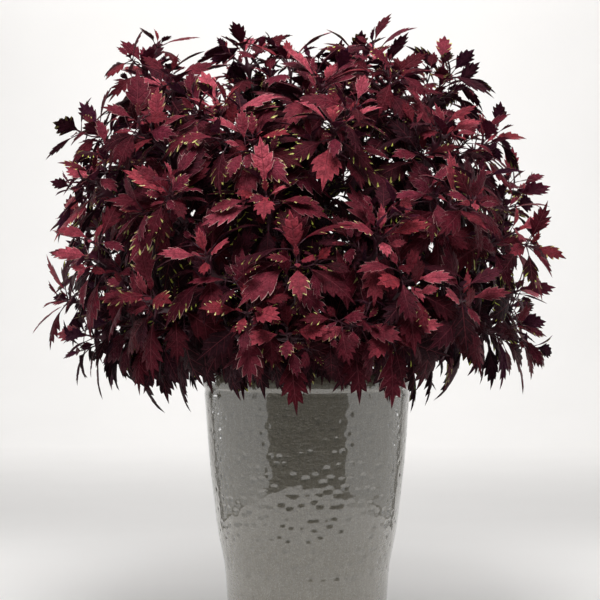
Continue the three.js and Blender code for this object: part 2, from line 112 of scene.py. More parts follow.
# ------------------------------ camera, floor and lights
# The camera is level and looks along +Y. Its sensor and lens are in millimetres.
CAMERA_PLACE = Vector((-12, -3300, 591)) * MM
SENSOR, LENS = 36, 116.13
NEAREST_SEEN, FARTHEST_SEEN = 0.05, 60

# The paper sweep: its floor is round for `turn` degrees to each side of the front, widens from there towards
# the cove, and turns up there into the wall. Past its edge is only the dark room, which the pot mirrors.
SWEEP = {"front": 1.0, "turn": 135, "cove": 4.5, "radius": 2.0, "top": 6.0, "steps": 60}

# [name, place, what it is aimed at, width, height, watts]
SOFTBOXES = [
    ["left_front_panel", (-0.876, -0.395, 0.36), (0, 0, 0.36), 0.846, 0.7, 1.0],
    ["right_front_panel", (0.876, -0.395, 0.36), (0, 0, 0.36), 0.846, 0.7, 1.0],
    ["left_rear_panel", (-0.965, 0.28, 0.36), (0, 0, 0.36), 0.607, 0.7, 0.66],
    ["right_rear_panel", (0.965, 0.28, 0.36), (0, 0, 0.36), 0.607, 0.7, 0.66],
    ["top_softbox", (0.0, -0.7, 2.4), (0, 0, 0.7), 2.0, 1.6, 19],
    ["key_softbox", (-0.1, -2.0, 2.7), (0, 0, 0.7), 1.1, 1.1, 50],
    ["wall_light", (0.0, 4.0, 4.4), (0, 6.5, 1.1), 5.0, 1.0, 180],
    ["left_floor_light", (-1.3, 0.9, 0.7), (-0.7, 0.9, 0), 0.5, 1.2, 4.2],
    ["right_floor_light", (1.3, 0.9, 0.7), (0.7, 0.9, 0), 0.5, 1.2, 4.2],
]
ROOM_GREY = 0.11


def add_camera():
    data = bpy.data.cameras.new("camera")
    data.sensor_width, data.lens = SENSOR, LENS
    data.clip_start, data.clip_end = NEAREST_SEEN, FARTHEST_SEEN
    camera = bpy.data.objects.new("camera", data)
    camera.location = CAMERA_PLACE
    camera.rotation_euler = (math.pi / 2, 0, 0)
    bpy.context.scene.collection.objects.link(camera)
    bpy.context.scene.camera = camera


def add_sweep():
    """The floor, the cove and the wall, each extruded from the one before."""
    radius, cove, turn = SWEEP["radius"], SWEEP["cove"], math.radians(SWEEP["turn"])
    bm = bmesh.new()
    left = bm.verts.new((-SWEEP["front"] * math.sin(turn), -SWEEP["front"] * math.cos(turn), 0))
    arc = bmesh.ops.spin(
        bm, geom=[left], cent=(0, 0, 0), axis=(0, 0, 1), angle=2 * turn, steps=SWEEP["steps"],
    )
    right = next(part for part in arc["geom_last"] if isinstance(part, bmesh.types.BMVert))
    far = [bm.verts.new(vert.co * (cove / vert.co.y)) for vert in (right, left)]
    border = [right, *far, left]
    edges = [bm.edges.new(pair) for pair in zip(border, border[1:])]
    bmesh.ops.contextual_create(bm, geom=bm.edges[:])
    bend = bmesh.ops.spin(
        bm, geom=[edges[1], *far], cent=(0, cove, radius), axis=(1, 0, 0), angle=math.pi / 2,
        steps=SWEEP["steps"],
    )
    last = [part for part in bend["geom_last"] if isinstance(part, bmesh.types.BMEdge)]
    _, verts = extruded(bm, last)
    bmesh.ops.translate(bm, verts=list(verts), vec=(0, 0, SWEEP["top"] - radius))
    bmesh.ops.recalc_face_normals(bm, faces=bm.faces)
    add_object("paper_sweep", bm, [paper_finish()])


def add_lights():
    """The softboxes, the dark room round them and a plain view transform."""
    scene = bpy.context.scene
    for name, place, target, width, height, watts in SOFTBOXES:
        data = bpy.data.lights.new(name, "AREA")
        data.shape, data.size, data.size_y, data.energy = "RECTANGLE", width, height, watts
        light = bpy.data.objects.new(name, data)
        light.location = place
        light.rotation_euler = (Vector(target) - Vector(place)).to_track_quat("-Z", "Y").to_euler()
        scene.collection.objects.link(light)
    world = bpy.data.worlds.new("dark_room")
    world.use_nodes = True
    world.node_tree.nodes["Background"].inputs["Color"].default_value = (ROOM_GREY, ROOM_GREY, ROOM_GREY, 1)
    scene.world = world
    scene.view_settings.view_transform = "Standard"


# ------------------------------ finishes
class Value:
    """A number or colour that varies over a surface. Arithmetic on it adds Math nodes."""

    def __init__(self, finish, socket):
        self.finish, self.socket = finish, socket

    def math(self, operation, *values):
        return self.finish.node("Math", {"operation": operation}, dict(enumerate(values)))

    def __add__(self, other):
        return self.math("ADD", self, other)

    def __radd__(self, other):
        return self.math("ADD", other, self)

    def __sub__(self, other):
        return self.math("SUBTRACT", self, other)

    def __rsub__(self, other):
        return self.math("SUBTRACT", other, self)

    def __mul__(self, other):
        return self.math("MULTIPLY", self, other)

    def __rmul__(self, other):
        return self.math("MULTIPLY", other, self)

    def __abs__(self):
        return self.math("ABSOLUTE", self)

    def rise(self, low, high):
        """0 below low, 1 above high, and a smooth rise between."""
        inputs = {"Value": self, "From Min": low, "From Max": high}
        return self.finish.node("MapRange", {"interpolation_type": "SMOOTHSTEP"}, inputs)


class Finish:
    """A procedural material under construction."""

    def __init__(self, name, **constants):
        self.material = bpy.data.materials.new(name)
        self.material.use_nodes = True
        self.nodes = self.material.node_tree.nodes
        self.links = self.material.node_tree.links
        self.shader = self.nodes["Principled BSDF"]
        self.set(**constants)

    def feed(self, socket, value):
        if isinstance(value, Value):
            self.links.new(value.socket, socket)
        elif isinstance(value, tuple):
            socket.default_value = (*value, 1)[: len(socket.default_value)]
        else:
            socket.default_value = value

    def set(self, **inputs):
        for name, value in inputs.items():
            self.feed(self.shader.inputs[name.replace("_", " ")], value)

    def node(self, kind, settings, inputs, output=0):
        made = self.nodes.new("ShaderNode" + kind)
        for name, value in settings.items():
            setattr(made, name, value)
        for name, value in inputs.items():
            self.feed(made.inputs[name], value)
        return Value(self, made.outputs[output])

    def attribute(self, name):
        return self.node("Attribute", {"attribute_name": name}, {}, "Fac")

    def place(self):
        return self.node("TexCoord", {}, {}, "Object")

    def stretched(self, vector, scale):
        return self.node("Mapping", {}, {"Vector": vector, "Scale": scale})

    def noise(self, vector, size, detail=2):
        """Noise from 0 to 1 whose blotches have about this size, in metres."""
        return self.node("TexNoise", {}, {"Vector": vector, "Scale": 1 / size, "Detail": detail})

    def spots(self, vector, size):
        """Distance from the nearest of points that lie about `size` apart, as a share of it."""
        return self.node("TexVoronoi", {}, {"Vector": vector, "Scale": 1 / size})

    def blend(self, share, first, second, mode="MIX"):
        """The first colour turning into the second as share goes from 0 to 1."""
        settings = {"data_type": "RGBA", "blend_type": mode}
        return self.node("Mix", settings, {0: share, 6: first, 7: second}, 2)

    def bump(self, height, depth):
        """Relief of this depth, in metres."""
        self.set(Normal=self.node("Bump", {}, {"Height": height, "Distance": depth}))


def paper_finish():
    finish = Finish("studio_paper", Roughness=0.75)
    grain = finish.noise(finish.place(), 0.4, 3)
    finish.set(Base_Color=finish.blend(grain, (0.86, 0.845, 0.83), (0.9, 0.885, 0.87)))
    return finish.material


# What the two skins of a blade are painted with
# In both tables the margin colour is partly the edge's own pale pink and partly a painted highlight where
# light catches the edge.
UPPER_COLOURS = {
    "young": (0.42, 0.045, 0.06), "grown": (0.115, 0.0075, 0.015), "old": (0.024, 0.003, 0.006),
    "vein": (0.3, 0.06, 0.08), "margin": (0.75, 0.45, 0.42),
    "cream": (0.92, 0.78, 0.4), "lime": (0.6, 0.64, 0.1),
}
UNDER_COLOURS = {
    "young": (0.2, 0.022, 0.05), "grown": (0.07, 0.011, 0.028), "old": (0.02, 0.005, 0.01),
    "vein": (0.18, 0.05, 0.08), "margin": (0.35, 0.18, 0.18),
    "cream": (0.6, 0.5, 0.28), "lime": (0.3, 0.34, 0.06),
}


def blade_finish(name, colours, is_under):
    """A coleus blade's skin: blotched burgundy with a rib, side veins, a pale margin that is partly a painted
    highlight, and lime teeth. Leaves low or deep in the plant carry painted shade in their age and tone.
    """
    finish = Finish(name, Specular_IOR_Level=0.1)
    finish.set(Sheen_Weight=0.02, Sheen_Roughness=0.4, Sheen_Tint=(0.9, 0.5, 0.55))
    along, across = finish.attribute("along"), finish.attribute("across")
    margin, vein_line = finish.attribute("margin"), finish.attribute("vein")
    tone, age, lime = finish.attribute("tone"), finish.attribute("age"), finish.attribute("lime")
    place = finish.place()
    width = abs(across)
    blotches = finish.noise(place, 0.012, 3)
    crinkle = finish.noise(place, 0.0035, 3)
    grain = finish.noise(place, 0.0014)

    rib = 1 - (width + along * 0.03).rise(0.03, 0.07)
    side_veins = vein_line.rise(0.72, 1.0) * (1 - margin.rise(0.6, 1.0))
    veins = rib.math("MAXIMUM", rib, side_veins * 0.6)

    # age carries painted shade as well as age: leaves low or deep in the plant are darkened towards the old
    # colour.
    youth = finish.blend(age.rise(0.0, 0.55), colours["young"], colours["grown"])
    colour = finish.blend(age.rise(0.5, 1.0), youth, colours["old"])
    colour = finish.blend(blotches.rise(0.35, 0.65) * 0.6, colour, (0.37, 0.36, 0.42), "MULTIPLY")
    colour = finish.blend(crinkle.rise(0.35, 0.65) * 0.65, colour, (0.5, 0.36, 0.42), "MULTIPLY")
    # tone is each leaf's own paleness, lowered as painted shade on low leaves.
    colour = finish.blend(tone, colour, (2.15, 3.7, 3.8), "MULTIPLY")
    colour = finish.blend(veins * (0.6 - age * 0.3), colour, colours["vein"])
    # The pale margin of pale young leaves: partly its own pink, partly a painted highlight where light
    # catches the edge.
    pale_edge_and_highlight = (margin + grain * 0.05).rise(0.95, 1.0) * tone.rise(0.2, 0.6) * (1 - age.rise(0.5, 0.9))
    colour = finish.blend(pale_edge_and_highlight * 0.85, colour, colours["margin"])
    teeth = (margin * 0.3 + vein_line * 0.5 + blotches * 0.7 + grain * 0.06).rise(1.01, 1.09)
    teeth = teeth * margin.rise(0.35, 0.6)
    tooth_colour = finish.blend(age, colours["cream"], colours["lime"])
    colour = finish.blend(teeth * lime.rise(0.58, 0.64), colour, tooth_colour)

    finish.set(Base_Color=colour, Roughness=blotches * 0.2 + age * 0.1 + (0.55 if is_under else 0.36))
    finish.bump(veins * (1 if is_under else -1) + crinkle * 2 + grain * 0.3, 0.0012)
    return finish.material


def stem_finish():
    finish = Finish("coleus_stem", Roughness=0.5)
    place = finish.place()
    streaks = finish.noise(finish.stretched(place, (1, 1, 0.15)), 0.002, 3)
    skin = finish.blend(finish.noise(place, 0.02), (0.055, 0.008, 0.02), (0.11, 0.02, 0.035))
    finish.set(Base_Color=finish.blend(streaks * 0.5, skin, (0.02, 0.006, 0.012)))
    finish.bump(streaks, 0.0004)
    return finish.material


def glaze_finish():
    """Grey glaze: clouded and finely speckled, darker where it pools in the hollows, under a clear gloss."""
    finish = Finish("grey_glaze", Coat_Weight=1.0, Coat_Roughness=0.03, Coat_IOR=2.2)
    place = finish.place()
    clouds = finish.noise(place, 0.06, 4)
    streaks = finish.noise(finish.stretched(place, (1, 1, 0.2)), 0.005, 3)
    grain = finish.noise(place, 0.0024)
    ripples = finish.noise(finish.stretched(place, (1, 1, 1.8)), 0.0075, 2)
    specks = finish.spots(place, 0.0036)
    colour = finish.blend(clouds, (0.148, 0.13, 0.09), (0.2, 0.18, 0.13))
    colour = finish.blend(streaks.rise(0.4, 0.75) * 0.5, colour, (0.26, 0.24, 0.19))
    colour = finish.blend(grain.rise(0.35, 0.65) * 0.5, colour, (0.085, 0.075, 0.05))
    colour = finish.blend((1 - specks.rise(0.1, 0.25)) * 0.55, colour, (0.36, 0.34, 0.28))
    colour = finish.blend(finish.attribute("pool") * 0.5, colour, (0.08, 0.078, 0.06))
    finish.set(Base_Color=colour, Roughness=clouds * 0.1 + 0.14)
    finish.bump(ripples * 12 + streaks * 1.5 + grain * 0.3 + specks * 0.2, 0.00012)
    return finish.material


def mix_finish():
    finish = Finish("moist_potting_mix")
    place = finish.place()
    crumbs = finish.noise(place, 0.004, 4)
    colour = finish.blend(crumbs, (0.012, 0.008, 0.006), (0.05, 0.034, 0.022))
    colour = finish.blend(finish.noise(place, 0.03) * 0.6, colour, (0.02, 0.013, 0.01))
    finish.set(Base_Color=colour, Roughness=crumbs * 0.2 + 0.75)
    finish.bump(crumbs, 0.0015)
    return finish.material


# ------------------------------ pot
# [radius, height] in millimetres, as the solid has them
POT_OUTSIDE = [[133, 3], [136.5, 85], [140.5, 138], [151.5, 196], [160, 260], [168, 335], [175, 432]]
POT_INSIDE = [[161, 440], [149, 260], [127, 140], [120, 26], [106, 14]]
POT_FOOT = 130
LIP = {"radius": 170, "height": 454, "out": 8, "up": 16, "from": -60, "to": 180, "step": 12}
WALL_STEP = {"outside": 3.2, "inside": 40}
POT_SIDES = 350
# Shallow oval hollows in staggered rows, in millimetres. `around` is how many a row has.
DIMPLE = {
    "around": 60, "row": 20.0, "width": 15, "height": 10, "depth": 1.6, "strength": (0.1, 1), "stray": 0.34,
    "seed": 5,
}
# The hammered stretch of the wall, in millimetres: what stays plain at its ends, how far the hollows take to
# fade in from there, and the slope of a cone that runs between the wall's two faces.
HAMMERED = {"plain": 6, "foot_fade": 20, "lip_fade": 12, "cone": 0.08}
# [size, depth] of the wall's swells and of its ripples, in millimetres
WALL_WAVES = [(60, 0.5), (13, 0.16), (7, 0.05)]


def smooth_line(points, step):
    """Points about `step` apart on a smooth curve through the given ones."""
    given = [Vector(point) for point in points]
    ends = [given[0] * 2 - given[1], *given, given[-1] * 2 - given[-2]]
    line = []
    for before, start, end, after in zip(ends, ends[1:], ends[2:], ends[3:]):
        count = max(1, round((end - start).length / step))
        for i in range(count):
            share = i / count
            pull = (end - before) * share + (before * 2 - start * 5 + end * 4 - after) * share**2
            line.append(start + (pull + (start * 3 - before - end * 3 + after) * share**3) / 2)
    return [*line, given[-1]]


def lathe(bm, profile, sides):
    """Turns a profile of [radius, height] in millimetres about Z into a closed skin."""
    points = [bm.verts.new((radius * MM, 0, height * MM)) for radius, height in profile]
    edges = [bm.edges.new(pair) for pair in zip(points, points[1:])]
    bmesh.ops.spin(
        bm, geom=points + edges, cent=(0, 0, 0), axis=(0, 0, 1), angle=math.tau, steps=sides, use_merge=True,
    )
    bmesh.ops.remove_doubles(bm, verts=bm.verts, dist=SAME)
    bmesh.ops.recalc_face_normals(bm, faces=bm.faces)


def scatter_dimples():
    """Each hollow's stray from its place in the rows, as shares of the pitch, and its strength."""
    draw = random.Random(DIMPLE["seed"])
    stray = DIMPLE["stray"]
    rows = range(-1, round(POT_OUTSIDE[-1][1] / DIMPLE["row"]) + 2)
    return {
        place: (draw.uniform(-stray, stray), draw.uniform(-stray, stray), draw.uniform(*DIMPLE["strength"]))
        for place in itertools.product(rows, range(DIMPLE["around"]))
    }


def pressed_in(dimples, turn, height, radius):
    """How deep the hollows are at a place on the wall, from 0 to 1; height and radius in millimetres."""
    nearest, deepest = round(height / DIMPLE["row"]), 0
    for row in (nearest - 1, nearest, nearest + 1):
        place = turn * DIMPLE["around"] - row % 2 / 2
        for column in (math.floor(place), math.floor(place) + 1):
            stray_across, stray_up, strength = dimples.get((row, column % DIMPLE["around"]), (0, 0, 0))
            across = (place - column - stray_across) * math.tau * radius / DIMPLE["around"]
            up = height - (row + stray_up) * DIMPLE["row"]
            near = max(0, 1 - (2 * across / DIMPLE["width"]) ** 2 - (2 * up / DIMPLE["height"]) ** 2)
            deepest = max(deepest, strength * near**2)
    return deepest


def lip_bead():
    """The profile of the bead round the mouth, from its under edge over its top to its inner edge."""
    bead = []
    for degrees in range(LIP["from"], LIP["to"] + 1, LIP["step"]):
        angle = math.radians(degrees)
        out, up = LIP["out"] * math.cos(angle), LIP["up"] * math.sin(angle)
        bead.append((LIP["radius"] + out, LIP["height"] + up))
    return bead


def hammer(bm):
    """Presses the hollows and waves into the outer wall, and notes where the glaze pools."""
    pool = bm.verts.layers.float.new("pool")
    dimples = scatter_dimples()
    low, high = POT_OUTSIDE[0][1] + HAMMERED["plain"], POT_OUTSIDE[-1][1] - HAMMERED["plain"]
    for vert in bm.verts:
        height, radius = vert.co.z / MM, vert.co.xy.length / MM
        is_outer = radius >= POT_FOOT + (height - low) * HAMMERED["cone"]
        if not (low < height < high and is_outer):
            continue
        fade = min(1, (height - low) / HAMMERED["foot_fade"], (high - height) / HAMMERED["lip_fade"])
        turn = math.atan2(vert.co.y, vert.co.x) / math.tau % 1
        vert[pool] = pressed_in(dimples, turn, height, radius) * fade
        inwards = vert[pool] * DIMPLE["depth"]
        for size, depth in WALL_WAVES:
            inwards += (noise.noise(vert.co / (size * MM)) / 2 + 0.5) * depth * fade
        vert.co.xy -= vert.co.xy.normalized() * inwards * MM


def make_pot():
    outside = smooth_line(POT_OUTSIDE, WALL_STEP["outside"])
    inside = smooth_line(POT_INSIDE, WALL_STEP["inside"])
    bm = bmesh.new()
    lathe(bm, [(0, 0), (POT_FOOT, 0), *outside, *lip_bead(), *inside, (0, POT_INSIDE[-1][1])], POT_SIDES)
    hammer(bm)
    pot = add_object("hammered_pot", bm, [glaze_finish()])
    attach(pot, "root")
    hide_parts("pot")


# ------------------------------ potting mix
# Millimetres. The mound has `half_way` of its height half-way out, and the lumps sink by `settled`.
MIX = {
    "surface": 425, "mound": 10, "half_way": 0.7, "shoulder": 14, "gap": 0.3, "settled": 2.5, "step": 3,
    "sides": 110,
}
MIX_LUMPS = [(12, 2.2), (4, 1)]  # [size, height]
CRUMBS = {"count": 700, "size": (1.6, 4.2), "width": (0.5, 1), "height": (0.4, 0.8), "sunk": 2, "seed": 11}


def make_potting_mix():
    """The pot's filling, lumpy on top, with loose crumbs half sunk in it."""
    surface, mound = MIX["surface"], MIX["mound"]
    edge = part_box("potting_mix")[1].x / MM
    walls = [(radius - MIX["gap"], height + MIX["gap"]) for radius, height in reversed(POT_INSIDE[1:])]
    rim = (edge, surface - MIX["shoulder"] / 2)
    half_way = (edge / 2, surface + mound * MIX["half_way"])
    crown = smooth_line([(edge - MIX["shoulder"], surface), half_way, (0, surface + mound)], MIX["step"])
    bm = bmesh.new()
    lathe(bm, [(0, walls[0][1]), *walls, rim, *crown], MIX["sides"])
    for vert in bm.verts:
        if vert.co.z > (surface - 1) * MM:
            lumps = sum(noise.noise(vert.co / (size * MM)) * height for size, height in MIX_LUMPS)
            vert.co.z += (lumps - MIX["settled"]) * MM
    draw = random.Random(CRUMBS["seed"])
    for _ in range(CRUMBS["count"]):
        out = math.sqrt(draw.random()) * (edge - 2 * MIX["shoulder"])
        turn, size = draw.uniform(0, math.tau), draw.uniform(*CRUMBS["size"])
        height = surface + mound * (1 - (out / edge) ** 2) - CRUMBS["sunk"]
        place = Vector((out * math.cos(turn), out * math.sin(turn), height)) * MM
        turned = Matrix.Rotation(draw.uniform(0, math.tau), 4, "Z")
        tipped = Matrix.Rotation(draw.uniform(-1, 1), 4, "X")
        width, thickness = size * draw.uniform(*CRUMBS["width"]), size * draw.uniform(*CRUMBS["height"])
        shape = Matrix.Diagonal((size, width, thickness, 1))
        matrix = Matrix.Translation(place) @ Matrix.Scale(MM, 4) @ turned @ tipped @ shape
        bmesh.ops.create_icosphere(bm, subdivisions=1, radius=1, matrix=matrix)
    piece = add_object("crumbly_potting_mix", bm, [mix_finish()])
    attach(piece, "root")
    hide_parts("potting_mix")


# ------------------------------ blades
# Half a blade's outline from its base: [share of the length, share of the half width, where its side vein
# leaves the rib, 1 at a tooth's tip]. The teeth point forward, and each has its notch beside it.
MATURE_OUTLINE = [
    [0, 0, 0, 0], [0.14, 0.22, 0.07, 0], [0.27, 0.6, 0.14, 0], [0.39, 0.89, 0.2, 0], [0.5, 1, 0.27, 1],
    [0.475, 0.74, 0.33, 0], [0.555, 0.84, 0.38, 0], [0.66, 0.84, 0.44, 1], [0.62, 0.52, 0.5, 0],
    [0.7, 0.55, 0.56, 0], [0.79, 0.48, 0.61, 1], [0.75, 0.23, 0.69, 0], [0.87, 0.12, 0.84, 0], [1, 0, 1, 1],
]
LOBED_OUTLINE = [
    [0, 0, 0, 0], [0.14, 0.18, 0.07, 0], [0.26, 0.45, 0.14, 0], [0.38, 0.8, 0.2, 0], [0.5, 0.98, 0.27, 1],
    [0.455, 0.56, 0.33, 0], [0.55, 0.78, 0.38, 0], [0.67, 0.9, 0.44, 1], [0.605, 0.4, 0.51, 0],
    [0.7, 0.52, 0.57, 0], [0.81, 0.5, 0.62, 1], [0.755, 0.17, 0.7, 0], [0.88, 0.1, 0.85, 0], [1, 0, 1, 1],
]
YOUNG_OUTLINE = [
    [0, 0, 0, 0], [0.16, 0.24, 0.08, 0], [0.33, 0.7, 0.18, 0], [0.48, 0.95, 0.28, 1],
    [0.455, 0.7, 0.35, 0], [0.56, 0.86, 0.43, 0], [0.665, 0.9, 0.51, 1], [0.625, 0.56, 0.59, 0],
    [0.72, 0.6, 0.66, 0], [0.81, 0.56, 0.73, 1], [0.775, 0.26, 0.8, 0], [0.88, 0.16, 0.88, 0], [1, 0, 1, 1],
]
# The same, far coarser, for telling whether leaves touch
COARSE_OUTLINE = [[0, 0.06], [0.34, 0.8], [0.58, 1], [0.79, 0.75], [1, 0]]
WIDTH_SHARE = 0.54  # a blade's width against its length
WAVES_ALONG, WAVES_APART = 9, 2  # the margins' waves from base to tip, and between the margins, in radians
MIDDLE_ROW = 0.55  # the mesh row between the rib and the outline, as a share of the way
# How far each row of the skins stands off the blade's middle, at a side vein and between two, for a blade of
# length 1. The rib is a groove on top and a ridge below, and the upper skin swells between the side veins.
UPPER_LIFTS = [(0.003, 0.003), (0.003, 0.014), (0, 0)]
UNDER_LIFTS = [(-0.012, -0.012), (0, 0)]
BLADE_LAYERS = ["along", "across", "margin", "vein", "tone", "age", "lime"]
UPPER, UNDER, BARK = 0, 1, 2


def blade_skin(outline, rows, lifts, material):
    """One skin of a flat blade from 0 to 1 along X, grown out of the rib row by row and mirrored."""
    bm = bmesh.new()
    layers = {layer: bm.verts.layers.float.new(layer) for layer in BLADE_LAYERS}
    number = bm.verts.layers.int.new("number")
    rib = bm.edges.new([bm.verts.new((0, 0, 0)), bm.verts.new((1, 0, 0))])
    bmesh.ops.subdivide_edges(bm, edges=[rib], cuts=len(outline) - 2)
    for i, vert in enumerate(sorted(bm.verts, key=lambda v: v.co.x)):
        vert[number] = i
    row, verts = bm.edges[:], bm.verts[:]
    for share, (on_vein, between) in zip(rows, lifts):
        if share:
            row, verts = extruded(bm, row)
        for vert in verts:
            along, across, foot, is_tooth = outline[vert[number]]
            lift = on_vein if is_tooth else between
            vert.co = (foot + (along - foot) * share, across * share, lift * (0 < along < 1))
            vert[layers["margin"]] = share
            vert[layers["along"]] = vert.co.x
            vert[layers["vein"]] = is_tooth
    paint(bm, material)
    if material == UNDER:
        # One face from tooth to tooth is enough where it is hardly seen.
        margin, vein = layers["margin"], layers["vein"]
        ribs = [vert for vert in bm.verts if 0 < vert.co.x < 1 and not (vert[margin] or vert[vein])]
        between = [edge for vert in ribs for edge in vert.link_edges if len(edge.link_faces) == 2]
        bmesh.ops.dissolve_edges(bm, edges=between)
        bmesh.ops.dissolve_verts(bm, verts=ribs)
    bmesh.ops.mirror(bm, geom=bm.verts[:] + bm.edges[:] + bm.faces[:], axis="Y", merge_dist=SAME)
    return as_mesh("blade_skin", bm)


def blade_template(name, outline):
    """A flat blade with an upper and an under skin that meet along its outline."""
    bm = bmesh.new()
    take_in(bm, blade_skin(outline, (0, MIDDLE_ROW, 1), UPPER_LIFTS, UPPER))
    take_in(bm, blade_skin(outline, (0, 1), UNDER_LIFTS, UNDER))
    across, margin = bm.verts.layers.float["across"], bm.verts.layers.float["margin"]
    for vert in bm.verts:
        vert[across] = vert.co.y
    bmesh.ops.remove_doubles(bm, verts=bm.verts, dist=SAME)
    bmesh.ops.recalc_face_normals(bm, faces=bm.faces)
    for edge in bm.edges:
        edge.smooth = any(vert[margin] < 1 for vert in edge.verts)
    return as_mesh(name, bm)


@dataclass
class Leaf:
    """A blade's place and shape, arched along its rib and folded along it."""

    start: Vector
    forward: Vector
    up: Vector
    length: float
    arch: float
    fold: float
    is_young: bool
    age: float  # from 0, young and bright, to 1, old and dark; painted shade for leaves low or deep in the plant is added to it
    curl: float = 0.0  # how far the sides bend down, as a share of the half width
    wave: float = 0.0  # how far the margin waves, as a share of the half width
    phase: float = 0.0
    tone: float = 0.5  # how pale, from 0 to 1; lowered as painted shade on low leaves
    lime: float = 0.0  # over about 0.6, its tooth tips are cream or lime
    width: float = 1.0  # against the usual share of its length
    is_lobed: bool = False

    def at(self, along, across, lift):
        """A point of the blade: along the rib and across it as shares, and off its face."""
        side = self.up.cross(self.forward)
        turned = self.arch * along
        face = self.up * math.cos(turned) + self.forward * math.sin(turned)
        reach = self.length / self.arch
        ahead, sunk = reach * math.sin(turned), reach * (1 - math.cos(turned))
        rib = self.start + self.forward * ahead - self.up * sunk
        half = self.length * WIDTH_SHARE * self.width / 2
        out = abs(across)
        sway = math.sin(WAVES_ALONG * along + self.phase + (WAVES_APART if across > 0 else 0))
        height = out * math.sin(self.fold) - self.curl * out**2 + self.wave * sway * out
        sideways = across * half * math.cos(self.fold)
        return rib + side * sideways + face * (half * height + lift * self.length)

    def sheet(self):
        """A coarse sheet of the blade: a hub on its rib and its outline round that."""
        ring = [self.at(along, across, 0) for along, across in COARSE_OUTLINE]
        ring += [self.at(along, -across, 0) for along, across in COARSE_OUTLINE[-2::-1]]
        return [self.at(0.5, 0, 0), *ring]


# ------------------------------ shoots
SHOOT_STEPS, TWIG_STEPS = 8, 2  # rings for each stretch between two given ones
SQUARE = ((1, 1), (-1, 1), (-1, -1), (1, -1))


def centre(ring):
    return sum(ring, Vector()) / len(ring)


def beyond(ring, other):
    """The ring as far on the far side of one ring as another is on the near side."""
    return [corner * 2 - twin for corner, twin in zip(ring, other)]


class Shoot:
    """A square stem or twig: rings of four corners along a smooth line from its root to its tip."""

    def __init__(self, rings, steps=SHOOT_STEPS):
        given = [beyond(rings[0], rings[1]), *rings, beyond(rings[-1], rings[-2])]
        self.rings = []
        for four in zip(given, given[1:], given[2:], given[3:]):
            for step in range(steps):
                t = step / steps
                # a cubic B-spline, which the rounded skins follow too
                pulls = [(1 - t) ** 3, 3 * t**3 - 6 * t**2 + 4, -3 * t**3 + 3 * t**2 + 3 * t + 1, t**3]
                pulled = [[point * pull for point, pull in zip(corner, pulls)] for corner in zip(*four)]
                self.rings.append([sum(corner, Vector()) / 6 for corner in pulled])
        self.rings.append(rings[-1])
        self.stops = [0.0]
        for ring, last in zip(self.rings[1:], self.rings):
            self.stops.append(self.stops[-1] + (centre(ring) - centre(last)).length)
        self.ring_stops = self.stops[::steps]
        self.length = self.stops[-1]
        self.nodes = []  # [place along the shoot, side] of everything that grows on it

    def face(self, place, side):
        """The middle of one of the four faces at a place, the shoot's direction there and the face's."""
        i = min(max(bisect.bisect_right(self.stops, place) - 1, 0), len(self.stops) - 2)
        share = min(1, max(0, (place - self.stops[i]) / (self.stops[i + 1] - self.stops[i])))
        low, high = self.rings[i], self.rings[i + 1]
        corners = [corner.lerp(above, share) for corner, above in zip(low, high)]
        middle = (corners[side] + corners[(side + 1) % 4]) / 2
        along = (centre(high) - centre(low)).normalized()
        return middle, along, (middle - centre(corners)).normalized()

    def has_room(self, place, room):
        return 0 < place < self.length and all(abs(place - taken) > room for taken, _ in self.nodes)

    def top_side(self):
        """The side on which the growth nearest the tip is."""
        return max(self.nodes)[1] if self.nodes else 0

    def sheets(self, step):
        """The shoot's stretches as plain tubes, for keeping leaves clear of it."""
        for i in range(0, len(self.rings) - 1, step):
            low, high = self.rings[i], self.rings[min(i + step, len(self.rings) - 1)]
            yield low + high, [(side, (side + 1) % 4, 4 + (side + 1) % 4, 4 + side) for side in range(4)]


# ------------------------------ reading the stems of the solids
# A blade's hub has so many edges when the blade has so many lobes and notches a side.
HUB_EDGES = {13: 5, 9: 3}
# The widest lobe for that many: its number, and how far along the blade it is
WIDEST = {5: (2, 0.58), 3: (0, 0.4)}
CREASE = 0.3  # how far a stem's four edges stay sharp when its skin is rounded
LEVEL_AGES = [0.15, 0.36, 0.55]  # of the pairs of leaves from the tip of a shoot down


